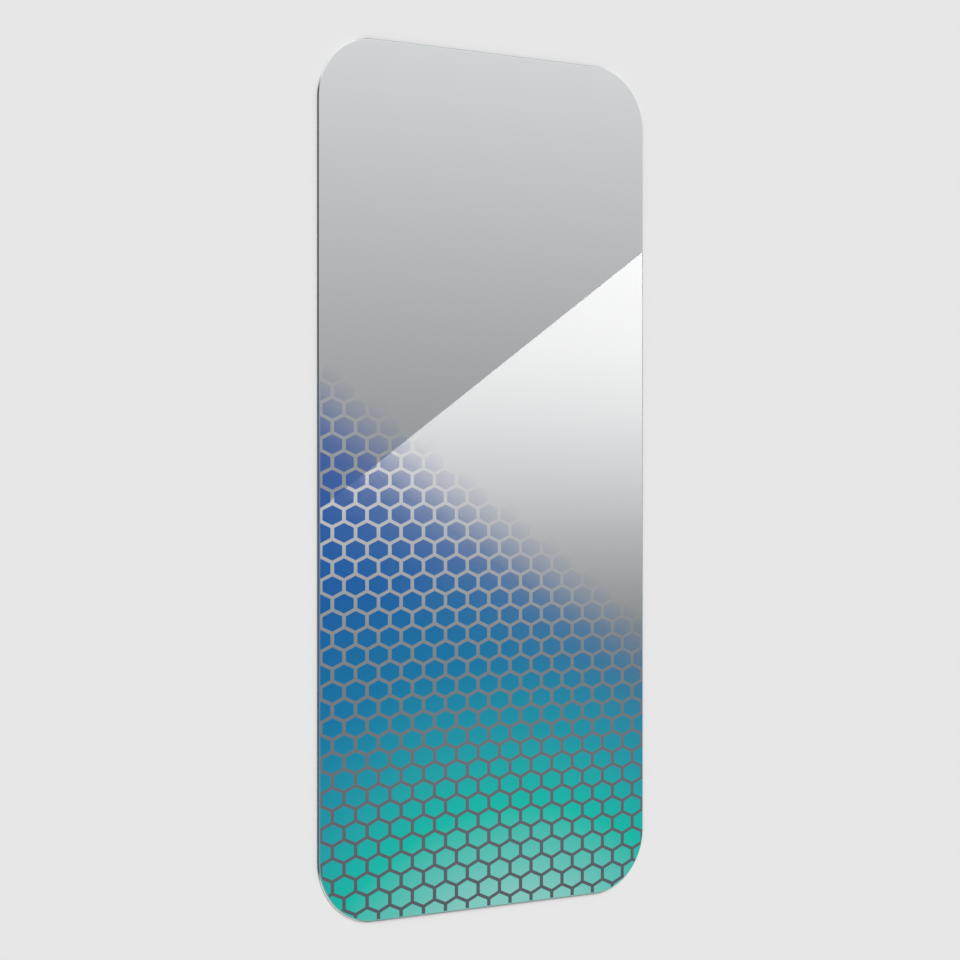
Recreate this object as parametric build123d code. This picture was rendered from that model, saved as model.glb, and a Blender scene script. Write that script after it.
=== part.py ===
from build123d import *

import os
from math import ceil, cos, hypot, radians, sin

# Phone screen protector: a thin sheet of glass with a honeycomb printed on its front face.
# It lies on its back. X runs across the sheet, Y towards the top of the phone and Z out of the
# front face. The origin is the middle of the back face, and sizes are in millimetres.

# Glass sheet
SHEET_WIDTH = 71.4
SHEET_LENGTH = 155.0
SHEET_THICKNESS = 0.5
CORNER_RADIUS = 11.3
FRONT_EDGE_RADIUS = 0.3
BACK_EDGE_BREAK = 0.06
MOST_FRONT_SHARE = 0.7
MOST_BACK_SHARE = 0.2

# Honeycomb: cells of ink with clear lines between them
COLUMN_PITCH = 4.71
ROW_PITCH = 3.08
UPRIGHT_LINE = 0.75
SLANTED_LINE = 0.6
FIRST_ROW_HEIGHT = 0.55
INK_THICKNESS = 0.02
SMALLEST_CELL_AREA = 0.5

# The print's upper end falls to the right, and its cells fade out over the last few rows
PRINT_HEIGHT = 75.0
PRINT_TILT = 33.4
FADE_WIDTH = 9.0

# The inks lie in bands that curve round a point below the foot of the sheet
GLOW_DROP = 32.5
GLOW_SHIFT = 5.0
MINT_BAND = 13.5
SEA_GREEN_BAND = 11.0
TEAL_BAND = 13.0
BLUE_BAND = 20.0
INK_BANDS = {
    "mint_cells": MINT_BAND,
    "sea_green_cells": SEA_GREEN_BAND,
    "teal_cells": TEAL_BAND,
    "blue_cells": BLUE_BAND,
}
LAST_INK = "indigo_cells"
FADED_INK = "faded_cells"

# On a thin sheet each edge takes at most its share, so that a straight wall is left between them
front_edge_radius = min(FRONT_EDGE_RADIUS, MOST_FRONT_SHARE * SHEET_THICKNESS)
back_edge_break = min(BACK_EDGE_BREAK, MOST_BACK_SHARE * SHEET_THICKNESS)


def glass_sheet():
    """The plate, with its front edge rounded and its back edge lightly broken."""
    blank = extrude(sheet_outline, SHEET_THICKNESS)
    rounded = fillet(blank.edges().group_by(Axis.Z)[-1], front_edge_radius)
    return chamfer(rounded.edges().group_by(Axis.Z)[0], back_edge_break)


def cell_outline():
    """One printed cell: a lattice hexagon with upright sides, drawn in by half the line at each side."""
    slope = (ROW_PITCH / 3) / (COLUMN_PITCH / 2)
    side = (COLUMN_PITCH - UPRIGHT_LINE) / 2
    tip = ROW_PITCH * 2 / 3 - SLANTED_LINE / 2 * hypot(1, slope)
    shoulder = tip - side * slope
    return Polygon(
        (0, tip), (-side, shoulder), (-side, -shoulder), (0, -tip), (side, -shoulder), (side, shoulder)
    )


def cell_centres():
    """The lattice's centres from the foot of the sheet to its top, every second row set over by half."""
    columns = ceil(SHEET_WIDTH / 2 / COLUMN_PITCH)
    for row in range(ceil(SHEET_LENGTH / ROW_PITCH) + 1):
        shift = 0.0 if row % 2 else COLUMN_PITCH / 2
        for column in range(-columns - 1, columns + 1):
            yield column * COLUMN_PITCH + shift, FIRST_ROW_HEIGHT + row * ROW_PITCH - SHEET_LENGTH / 2


def ink_at(x, y):
    """The ink of a cell centred on x, y, or None above the print."""
    height = y + SHEET_LENGTH / 2
    tilt = radians(PRINT_TILT)
    depth = (PRINT_HEIGHT - height) * cos(tilt) - x * sin(tilt)
    if depth < 0:
        return None
    if depth < FADE_WIDTH:
        return FADED_INK
    rise = hypot(x - GLOW_SHIFT, height + GLOW_DROP) - GLOW_DROP
    for ink, band in INK_BANDS.items():
        if rise < band:
            return ink
        rise -= band
    return LAST_INK


def shown_cell(x, y):
    """The cell centred on x, y, cut off at the rim of the flat front face where it crosses it."""
    cell = Pos(x, y) * one_cell
    return cell if clear_of_rim.is_inside((x, y)) else cell & flat_face


def ink_layer(centres):
    """The cells at centres as thin solids on the front face, without the scraps left at the rim."""
    shown = [cell for cell in (shown_cell(x, y) for x, y in centres) if cell]
    faces = [face for cell in shown for face in cell.faces() if face.area > SMALLEST_CELL_AREA]
    return extrude(Pos(Z=SHEET_THICKNESS) * Sketch(faces), INK_THICKNESS)


sheet_outline = RectangleRounded(SHEET_WIDTH, SHEET_LENGTH, CORNER_RADIUS)
flat_face = offset(sheet_outline, -front_edge_radius)
clear_of_rim = offset(flat_face, -max(COLUMN_PITCH, ROW_PITCH)).face()
one_cell = cell_outline()

os.makedirs("parts", exist_ok=True)
export_step(glass_sheet(), "parts/glass_sheet.step")
for ink in (*INK_BANDS, LAST_INK, FADED_INK):
    layer = ink_layer([(x, y) for x, y in cell_centres() if ink_at(x, y) == ink])
    export_step(layer, f"parts/{ink}.step")
    print(ink, len(layer.solids()), "cells")
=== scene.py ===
from math import atan2, cos, radians, sin

import bmesh
import bpy
from mathutils import Matrix, Vector


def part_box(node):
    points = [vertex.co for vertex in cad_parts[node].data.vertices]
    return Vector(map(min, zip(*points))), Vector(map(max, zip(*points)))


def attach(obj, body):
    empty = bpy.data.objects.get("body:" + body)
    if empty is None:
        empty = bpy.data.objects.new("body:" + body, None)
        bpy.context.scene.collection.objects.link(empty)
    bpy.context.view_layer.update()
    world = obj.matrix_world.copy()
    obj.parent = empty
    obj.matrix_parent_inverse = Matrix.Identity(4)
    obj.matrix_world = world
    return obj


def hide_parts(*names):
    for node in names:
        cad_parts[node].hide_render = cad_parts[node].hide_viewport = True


# A phone screen protector: a polished sheet of glass with a honeycomb of ink on its front; the glass's
# grey, light at the head and dark at the foot, is painted reflection.
# It lies on its back. X runs across it, Y towards the top of the phone and Z out of the front.

MM = 0.001

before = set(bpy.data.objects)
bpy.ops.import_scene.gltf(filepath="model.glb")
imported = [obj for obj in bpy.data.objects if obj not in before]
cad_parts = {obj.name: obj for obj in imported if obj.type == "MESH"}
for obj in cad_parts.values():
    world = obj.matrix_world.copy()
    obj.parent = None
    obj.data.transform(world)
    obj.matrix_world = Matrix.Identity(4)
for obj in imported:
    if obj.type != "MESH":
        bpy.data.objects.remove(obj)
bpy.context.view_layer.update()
sheet_low, sheet_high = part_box("glass_sheet")
SHEET_WIDTH, SHEET_LENGTH, SHEET_THICKNESS = sheet_high - sheet_low
SOLID_INKS = ("mint_cells", "sea_green_cells")
FADING_INKS = ("teal_cells", "blue_cells", "indigo_cells", "faded_cells")
ink_low, ink_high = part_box("faded_cells")
INK_THICKNESS = ink_high.z - ink_low.z

# Edges of the sheet
CORNER_RADIUS = 11.3 * MM
FRONT_EDGE_RADIUS = 0.3 * MM
BACK_EDGE_BREAK = 0.06 * MM
CORNER_STEPS = 32
FRONT_EDGE_STEPS = 8

# The front face lies a hair under the ink, so that no two faces share a plane
INK_SEAT = 0.003 * MM
FRONT_HEIGHT = SHEET_THICKNESS - INK_SEAT
SAME_HEIGHT = 0.002 * MM

# The sheet's finishes, in the order of its materials. The rim is the upper half of the rounded edge
LEVEL, RIM, WALL = range(3)
LEVEL_COSINE = 0.999
RIM_COSINE = cos(radians(45))

# The honeycomb's lattice, for the thin scraps of its lowest row that the two lower corners cut off
COLUMN_PITCH = 4.71 * MM
ROW_PITCH = 3.08 * MM
UPRIGHT_LINE = 0.75 * MM
SLANTED_LINE = 0.6 * MM
FIRST_ROW_HEIGHT = 0.55 * MM
SCRAP_COLUMN = 6.5

# The print's colours spread round a point below the foot, and its upper end fades out on a slant
GLOW_CENTRE = (5 * MM, -110 * MM)
GLOW_NEAR = 32 * MM
GLOW_FAR = 120 * MM
FADE_TILT = radians(33.4)
FADE_LENGTH = 30 * MM
FADE_STEPS = {0.0: 0.0, 0.07: 0.03, 0.20: 0.25, 0.40: 0.70, 0.53: 0.86, 0.73: 0.955, 1.0: 1.0}
FILM_MARGIN = INK_THICKNESS / 4

# The rounded edge takes on most of the ink's colour beside it, and a little pale green: partly the
# glass's own green, partly a painted highlight
RIM_INK_SHARE = 0.8
RIM_GREEN_HIGHLIGHT_SHARE = 0.08
RIM_GREEN_HIGHLIGHT = (222, 238, 230)

# The side wall's painted shade turns into a painted glint between these shares of the way into a corner
CORNER_DARK_END = 0.25
CORNER_BRIGHT_START = 0.65
CORNER_PAINTED_GLINT = (236, 246, 240)
# Painted shade: the straight sides of the wall are coloured dark, as if in shade, in random patches
WALL_PAINTED_SHADE = (48, 58, 62)
WALL_PAINTED_SHADE_PALER = (62, 72, 76)
WALL_PATCHES = 5 * MM

# Each finish is rougher in some patches than in others: their size, and the least and most roughness
WIPED = (30 * MM, 0.003, 0.009)
POLISHED_EDGE = (1.5 * MM, 0.05, 0.10)
GROUND_EDGE = (1.5 * MM, 0.15, 0.30)
DRIED_INK = (0.8 * MM, 0.10, 0.18)
CLOUDS_LOW = 0.3
CLOUDS_HIGH = 0.7
GLASS_IOR = 1.5
INK_GLOSS = 0.03

# The camera looks down over the sheet's left side
CAMERA_PLACE = Vector((-240.44, 0.0, 349.16)) * MM
CAMERA_LEAN = radians(-34.376)
CAMERA_LENS = 87.53
CAMERA_SENSOR = 36.0
CAMERA_NEAR = 1 * MM

# A lit panel stands where the front face mirrors it to the camera. Its upper edge is cut on a slant
PANEL_SPREAD = 2.2
PANEL_SLOPE = 0.6816
PANEL_EDGE_MIDDLE = 19.11 * MM
PANEL_LEFT = -48 * MM
PANEL_RIGHT = 62 * MM
PANEL_FOOT = -38 * MM
PANEL_TOP = 43 * MM
PANEL_RADIANCE = 14.0
PANEL_WARMTH = (1.0, 0.985, 0.975)
PANEL_LEVELS = {0.02: 0.057, 0.12: 0.09, 0.32: 0.34, 0.47: 0.58, 0.62: 0.75, 0.78: 0.85, 1.0: 0.84}

# Floor and light
FLOOR_REACH = 4.0
FLOOR_GAP = 0.02 * MM
FLOOR_COLOUR = (0.80, 0.80, 0.80, 1)
AMBIENT = 0.595
KEY_FROM = Vector((0.05, 0.75, 0.95))
KEY_SPREAD = radians(40)
KEY_STRENGTH = 1.62

# A Mix node has sockets of one name for numbers and for colours, so those for colours go by number
MIX_SHARE, MIX_FIRST, MIX_SECOND = 0, 6, 7
MIX_RESULT = 2


def linear(red, green, blue):
    """A colour given in the usual 0 to 255 steps, as light."""
    steps = [value / 255 for value in (red, green, blue)]
    return [s / 12.92 if s <= 0.04045 else ((s + 0.055) / 1.055) ** 2.4 for s in steps] + [1.0]


def add(tree, kind, **settings):
    """A new node with its own settings."""
    node = tree.nodes.new(kind)
    for name, value in settings.items():
        setattr(node, name, value)
    return node


def object_place(tree):
    """Where a point lies on the sheet."""
    return add(tree, "ShaderNodeTexCoord").outputs["Object"]


def along(tree, place, axis):
    """How far a point lies along one axis."""
    node = add(tree, "ShaderNodeSeparateXYZ")
    tree.links.new(place, node.inputs["Vector"])
    return node.outputs[axis]


def spread(tree, value, low, high, to_low=0.0, to_high=1.0):
    """The value carried from one range to another, and held at its ends."""
    node = add(tree, "ShaderNodeMapRange")
    tree.links.new(value, node.inputs["Value"])
    for name, number in (("From Min", low), ("From Max", high), ("To Min", to_low), ("To Max", to_high)):
        node.inputs[name].default_value = number
    return node.outputs["Result"]


def combine(tree, operation, first, second):
    """One value made of two."""
    node = add(tree, "ShaderNodeMath", operation=operation)
    tree.links.new(first, node.inputs[0])
    tree.links.new(second, node.inputs[1])
    return node.outputs["Value"]


def vector_step(tree, operation, vector, fixed=None):
    """A step of vector arithmetic, with a fixed second vector where it takes one."""
    node = add(tree, "ShaderNodeVectorMath", operation=operation)
    tree.links.new(vector, node.inputs[0])
    if fixed is not None:
        node.inputs[1].default_value = fixed
    return node


def ramp(tree, value, stops):
    """A colour for each value from 0 to 1, from a few stops."""
    node = add(tree, "ShaderNodeValToRGB")
    elements = node.color_ramp.elements
    while len(elements) < len(stops):
        elements.new(0.5)
    for element, (position, colour) in zip(elements, sorted(stops.items())):
        element.position = position
        element.color = colour
    tree.links.new(value, node.inputs["Fac"])
    return node.outputs["Color"]


def noise(tree, place, size):
    """Soft cloudy values with patches of about that size."""
    node = add(tree, "ShaderNodeTexNoise")
    node.inputs["Scale"].default_value = 1 / size
    tree.links.new(place, node.inputs["Vector"])
    return node.outputs["Fac"]


def mix_colours(tree, share, first, second):
    """Two colours mixed, with that share of the second."""
    node = add(tree, "ShaderNodeMix", data_type="RGBA")
    for socket, source in ((MIX_SHARE, share), (MIX_FIRST, first), (MIX_SECOND, second)):
        if isinstance(source, bpy.types.NodeSocket):
            tree.links.new(source, node.inputs[socket])
        else:
            node.inputs[socket].default_value = source
    return node.outputs[MIX_RESULT]


def new_material(name):
    """A material with one Principled shader, its node tree and that shader."""
    material = bpy.data.materials.new(name)
    material.use_nodes = True
    return material, material.node_tree, material.node_tree.nodes["Principled BSDF"]


def roughen(tree, place, shader, finish):
    """Roughness in soft patches, as the finish gives them."""
    size, least, most = finish
    patches = spread(tree, noise(tree, place, size), CLOUDS_LOW, CLOUDS_HIGH, least, most)
    tree.links.new(patches, shader.inputs["Roughness"])


def painted_reflection_tone(tree, place):
    """Painted reflection: light grey at the head of the sheet, darkening to grey at its foot."""
    height = spread(tree, along(tree, place, "Y"), sheet_low.y, sheet_high.y)
    # Painted reflection standing in for the studio's light: lighter towards the head, darker towards the
    # foot
    tones = {
        0.00: linear(70, 78, 85),
        0.12: linear(86, 93, 99),
        0.25: linear(107, 115, 119),
        0.50: linear(139, 143, 146),
        0.66: linear(164, 166, 168),
        1.00: linear(208, 210, 212),
    }
    return ramp(tree, height, tones)


def ink_tone(tree, place):
    """Mint at the foot, then sea green, teal and blue to indigo, in rings round the glow's centre."""
    centred = add(tree, "ShaderNodeMapping")
    centred.inputs["Scale"].default_value = (1, 1, 0)
    centred.inputs["Location"].default_value = (-GLOW_CENTRE[0], -GLOW_CENTRE[1], 0)
    tree.links.new(place, centred.inputs["Vector"])
    distance = vector_step(tree, "LENGTH", centred.outputs["Vector"]).outputs["Value"]
    glow = spread(tree, distance, GLOW_NEAR, GLOW_FAR)
    inks = {
        0.03: linear(130, 199, 190),
        0.11: linear(94, 190, 178),
        0.21: linear(26, 182, 166),
        0.30: linear(34, 163, 165),
        0.37: linear(32, 147, 165),
        0.52: linear(26, 117, 161),
        0.72: linear(25, 93, 158),
        0.97: linear(33, 83, 157),
    }
    return ramp(tree, glow, inks)


def ink_cover(tree, place):
    """How solid the ink is: full in the body of the print, and none past its slanted upper end."""
    downhill = (-sin(FADE_TILT), -cos(FADE_TILT), 0)
    depth = vector_step(tree, "DOT_PRODUCT", place, downhill).outputs["Value"]
    share = spread(tree, depth, 0, FADE_LENGTH)
    return ramp(tree, share, {position: [solid] * 3 + [1] for position, solid in FADE_STEPS.items()})


def corner_glint_share(tree, place):
    """Where the wall's painted glint shows: none on the straight sides and full midway round a corner,
    from the sine of twice the turn.
    """
    corner_start = (SHEET_WIDTH / 2 - CORNER_RADIUS, SHEET_LENGTH / 2 - CORNER_RADIUS, 0)
    mirrored = vector_step(tree, "ABSOLUTE", place).outputs["Vector"]
    past_start = vector_step(tree, "SUBTRACT", mirrored, corner_start).outputs["Vector"]
    in_corner = vector_step(tree, "MAXIMUM", past_start, (0, 0, 0)).outputs["Vector"]
    turn = combine(tree, "MULTIPLY", along(tree, in_corner, "X"), along(tree, in_corner, "Y"))
    midway = CORNER_RADIUS ** 2 / 2
    return spread(tree, turn, CORNER_DARK_END * midway, CORNER_BRIGHT_START * midway)


def glass_painted_reflection():
    """The polished level faces, coloured with the painted reflection."""
    material, tree, shader = new_material("glass_painted_reflection")
    place = object_place(tree)
    tree.links.new(painted_reflection_tone(tree, place), shader.inputs["Base Color"])
    roughen(tree, place, shader, WIPED)
    shader.inputs["IOR"].default_value = GLASS_IOR
    return material


def rim_glass():
    """The rounded front edge, which gathers the colours beside it and the painted reflection, and shows a
    pale green that is partly the glass's own and partly a painted highlight.
    """
    material, tree, shader = new_material("rim_glass")
    place = object_place(tree)
    gathered = spread(tree, ink_cover(tree, place), 0, 1, 0, RIM_INK_SHARE)
    stained = mix_colours(tree, gathered, painted_reflection_tone(tree, place), ink_tone(tree, place))
    # Painted highlight: a pale green lift stands in for the light that the polished edge catches
    pale = mix_colours(tree, RIM_GREEN_HIGHLIGHT_SHARE, stained, linear(*RIM_GREEN_HIGHLIGHT))
    tree.links.new(pale, shader.inputs["Base Color"])
    roughen(tree, place, shader, POLISHED_EDGE)
    shader.inputs["IOR"].default_value = GLASS_IOR
    return material


def side_glass():
    """The side wall, with painted shade: dark on the straight sides, and a painted glint bright round the
    corners.
    """
    material, tree, shader = new_material("side_glass")
    place = object_place(tree)
    # Painted shade: the straight sides of the wall are coloured dark, as if in shade
    tones = {0.0: linear(*WALL_PAINTED_SHADE), 1.0: linear(*WALL_PAINTED_SHADE_PALER)}
    painted_shade = ramp(tree, noise(tree, place, WALL_PATCHES), tones)
    # Painted glint: the wall is coloured near white midway round each corner
    wall = mix_colours(tree, corner_glint_share(tree, place), painted_shade, linear(*CORNER_PAINTED_GLINT))
    tree.links.new(wall, shader.inputs["Base Color"])
    roughen(tree, place, shader, GROUND_EDGE)
    shader.inputs["IOR"].default_value = GLASS_IOR
    return material


def honeycomb_ink(name, fading):
    """Printed ink. Where it thins out, only the film's upper side shows, so that it counts once."""
    material, tree, shader = new_material(name)
    place = object_place(tree)
    tree.links.new(ink_tone(tree, place), shader.inputs["Base Color"])
    roughen(tree, place, shader, DRIED_INK)
    shader.inputs["Specular IOR Level"].default_value = INK_GLOSS
    if fading:
        height = along(tree, place, "Z")
        upper = spread(tree, height, ink_low.z + FILM_MARGIN, ink_high.z - FILM_MARGIN)
        shown = combine(tree, "MULTIPLY", ink_cover(tree, place), upper)
        tree.links.new(shown, shader.inputs["Alpha"])
    return material


def new_object(name, mesh):
    """An object at the origin that holds the finished mesh."""
    data = bpy.data.meshes.new(name)
    mesh.to_mesh(data)
    mesh.free()
    made = bpy.data.objects.new(name, data)
    bpy.context.scene.collection.objects.link(made)
    return made


def whole(mesh):
    """All that a mesh is made of."""
    return mesh.verts[:] + mesh.edges[:] + mesh.faces[:]


def rounded_plate(width, length, radius):
    """A flat face with round corners."""
    mesh = bmesh.new()
    bmesh.ops.create_grid(mesh, x_segments=1, y_segments=1, size=0.5)
    bmesh.ops.scale(mesh, vec=(width, length, 1), verts=mesh.verts)
    bmesh.ops.bevel(mesh, geom=mesh.verts[:], offset=radius, segments=CORNER_STEPS,
                    profile=0.5, affect="VERTICES", material=-1)
    return mesh


def thicken(mesh, height):
    """The flat face raised to a plate of that height."""
    raised = bmesh.ops.extrude_face_region(mesh, geom=mesh.faces[:])["geom"]
    upper = [v for v in raised if isinstance(v, bmesh.types.BMVert)]
    bmesh.ops.translate(mesh, vec=(0, 0, height), verts=upper)
    bmesh.ops.recalc_face_normals(mesh, faces=mesh.faces)


def level_edges(mesh, height):
    """The edges that lie wholly at that height."""
    return [e for e in mesh.edges if all(abs(v.co.z - height) < SAME_HEIGHT for v in e.verts)]


def polished_sheet():
    """The plate with round corners, a round front edge and a lightly broken back edge."""
    mesh = rounded_plate(SHEET_WIDTH, SHEET_LENGTH, CORNER_RADIUS)
    thicken(mesh, FRONT_HEIGHT)
    bmesh.ops.bevel(mesh, geom=level_edges(mesh, FRONT_HEIGHT), offset=FRONT_EDGE_RADIUS,
                    segments=FRONT_EDGE_STEPS, profile=0.5, affect="EDGES", material=-1)
    bmesh.ops.bevel(mesh, geom=level_edges(mesh, 0), offset=BACK_EDGE_BREAK,
                    segments=1, profile=0.5, affect="EDGES", material=-1)
    bmesh.ops.recalc_face_normals(mesh, faces=mesh.faces)
    for face in mesh.faces:
        level = abs(face.normal.z) > LEVEL_COSINE
        face.smooth = not level
        face.material_index = LEVEL if level else RIM if face.normal.z > RIM_COSINE else WALL
    sheet = new_object("polished_sheet", mesh)
    for finish in (glass_painted_reflection(), rim_glass(), side_glass()):
        sheet.data.materials.append(finish)
    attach(sheet, "root")
    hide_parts("glass_sheet")


def corner_scraps():
    """The slips of two cells inside the lower corners, cut from the flat face by the cells' sides."""
    edges = 2 * FRONT_EDGE_RADIUS
    mesh = rounded_plate(SHEET_WIDTH - edges, SHEET_LENGTH - edges, CORNER_RADIUS - FRONT_EDGE_RADIUS)
    # A cell's shoulders are a third of a row from its centre, and its tips two thirds
    slant = atan2(ROW_PITCH / 3, COLUMN_PITCH / 2)
    centre = Vector((SCRAP_COLUMN * COLUMN_PITCH, FIRST_ROW_HEIGHT - SHEET_LENGTH / 2, 0))
    side = centre - Vector(((COLUMN_PITCH - UPRIGHT_LINE) / 2, 0, 0))
    tip = centre + Vector((0, ROW_PITCH * 2 / 3 - SLANTED_LINE / 2 / cos(slant), 0))
    for point, outward in ((side, (-1, 0, 0)), (tip, (-sin(slant), cos(slant), 0))):
        bmesh.ops.bisect_plane(mesh, geom=whole(mesh), plane_co=point, plane_no=outward, clear_outer=True)
    thicken(mesh, INK_THICKNESS)
    bmesh.ops.translate(mesh, vec=(0, 0, ink_low.z), verts=mesh.verts)
    bmesh.ops.mirror(mesh, geom=whole(mesh), axis="X", merge_dist=0)
    bmesh.ops.recalc_face_normals(mesh, faces=mesh.faces)
    scraps = new_object("corner_scraps", mesh)
    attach(scraps, "root")
    return scraps


def print_honeycomb():
    """The cells keep their solids and take the ink. So thin a film casts no shadow and lights nothing."""
    solid = honeycomb_ink("solid_ink", False)
    fading = honeycomb_ink("fading_ink", True)
    scraps = corner_scraps()
    scraps.data.materials.append(solid)
    inks = {name: solid for name in SOLID_INKS} | {name: fading for name in FADING_INKS}
    for name, ink in inks.items():
        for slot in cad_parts[name].material_slots:
            slot.material = ink
    for cells in [scraps] + [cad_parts[name] for name in inks]:
        cells.visible_shadow = False
        cells.visible_diffuse = False
        cells.visible_glossy = False


def plain_floor():
    """A wide matt floor just under the sheet."""
    mesh = bmesh.new()
    bmesh.ops.create_grid(mesh, x_segments=1, y_segments=1, size=FLOOR_REACH)
    bmesh.ops.translate(mesh, vec=(0, 0, -FLOOR_GAP), verts=mesh.verts)
    floor = new_object("floor", mesh)
    material, _, shader = new_material("floor_paint")
    shader.inputs["Base Color"].default_value = FLOOR_COLOUR
    shader.inputs["Roughness"].default_value = 1.0
    shader.inputs["Specular IOR Level"].default_value = 0.0
    floor.data.materials.append(material)


def panel_light():
    """Light that grows from the panel's foot to its top."""
    material, tree, shader = new_material("panel_light")
    tree.nodes.remove(shader)
    height = along(tree, object_place(tree), "Y")
    rise = spread(tree, height, PANEL_FOOT * PANEL_SPREAD, PANEL_TOP * PANEL_SPREAD)
    levels = {
        position: [level * share for share in PANEL_WARMTH] + [1]
        for position, level in PANEL_LEVELS.items()
    }
    light = add(tree, "ShaderNodeEmission")
    light.inputs["Strength"].default_value = PANEL_RADIANCE
    tree.links.new(ramp(tree, rise, levels), light.inputs["Color"])
    tree.links.new(light.outputs["Emission"], tree.nodes["Material Output"].inputs["Surface"])
    return material


def glare_panel():
    """A lit panel, placed by the camera's mirror image in the front face. Only reflections show it."""
    mirrored = Vector((CAMERA_PLACE.x, CAMERA_PLACE.y, 2 * SHEET_THICKNESS - CAMERA_PLACE.z))
    edge = [(x, PANEL_EDGE_MIDDLE + PANEL_SLOPE * x) for x in (PANEL_RIGHT, PANEL_LEFT)]
    corners = edge + [(PANEL_LEFT, PANEL_FOOT), (PANEL_RIGHT, PANEL_FOOT)]
    mesh = bmesh.new()
    mesh.faces.new([mesh.verts.new((x, y, SHEET_THICKNESS)) for x, y in corners])
    bmesh.ops.scale(mesh, vec=(PANEL_SPREAD,) * 3, space=Matrix.Translation(-mirrored), verts=mesh.verts)
    panel = new_object("glare_panel", mesh)
    panel.data.materials.append(panel_light())
    panel.visible_camera = False
    panel.visible_diffuse = False
    panel.visible_shadow = False


def key_light():
    """Soft even light from above the head of the sheet. The face doesn't mirror it as a bright spot."""
    lamp = bpy.data.lights.new("key", "SUN")
    lamp.energy = KEY_STRENGTH
    lamp.angle = KEY_SPREAD
    made = bpy.data.objects.new("key", lamp)
    made.rotation_euler = KEY_FROM.to_track_quat("Z", "Y").to_euler()
    made.visible_glossy = False
    bpy.context.scene.collection.objects.link(made)


def studio_world():
    """Even light all round. Rays that show a background see the floor's own tone."""
    world = bpy.data.worlds.new("studio")
    world.use_nodes = True
    bpy.context.scene.world = world
    tree = world.node_tree
    ambient = tree.nodes["Background"]
    ambient.inputs["Color"].default_value = (1, 1, 1, 1)
    ambient.inputs["Strength"].default_value = AMBIENT
    backdrop = add(tree, "ShaderNodeBackground")
    backdrop.inputs["Color"].default_value = FLOOR_COLOUR
    path = add(tree, "ShaderNodeLightPath")
    seen = path.outputs["Is Camera Ray"]
    for kind in ("Is Glossy Ray", "Is Transmission Ray"):
        seen = combine(tree, "MAXIMUM", seen, path.outputs[kind])
    mix = add(tree, "ShaderNodeMixShader")
    tree.links.new(seen, mix.inputs["Fac"])
    tree.links.new(ambient.outputs["Background"], mix.inputs[1])
    tree.links.new(backdrop.outputs["Background"], mix.inputs[2])
    tree.links.new(mix.outputs["Shader"], tree.nodes["World Output"].inputs["Surface"])


def camera():
    """The photo's view of the sheet, from above its left side."""
    data = bpy.data.cameras.new("camera")
    data.lens = CAMERA_LENS
    data.sensor_width = CAMERA_SENSOR
    data.clip_start = CAMERA_NEAR
    made = bpy.data.objects.new("camera", data)
    made.location = CAMERA_PLACE
    made.rotation_euler = (0, CAMERA_LEAN, 0)
    bpy.context.scene.collection.objects.link(made)
    bpy.context.scene.camera = made


polished_sheet()
print_honeycomb()
plain_floor()
glare_panel()
key_light()
studio_world()
camera()
bpy.context.scene.view_settings.view_transform = "Standard"
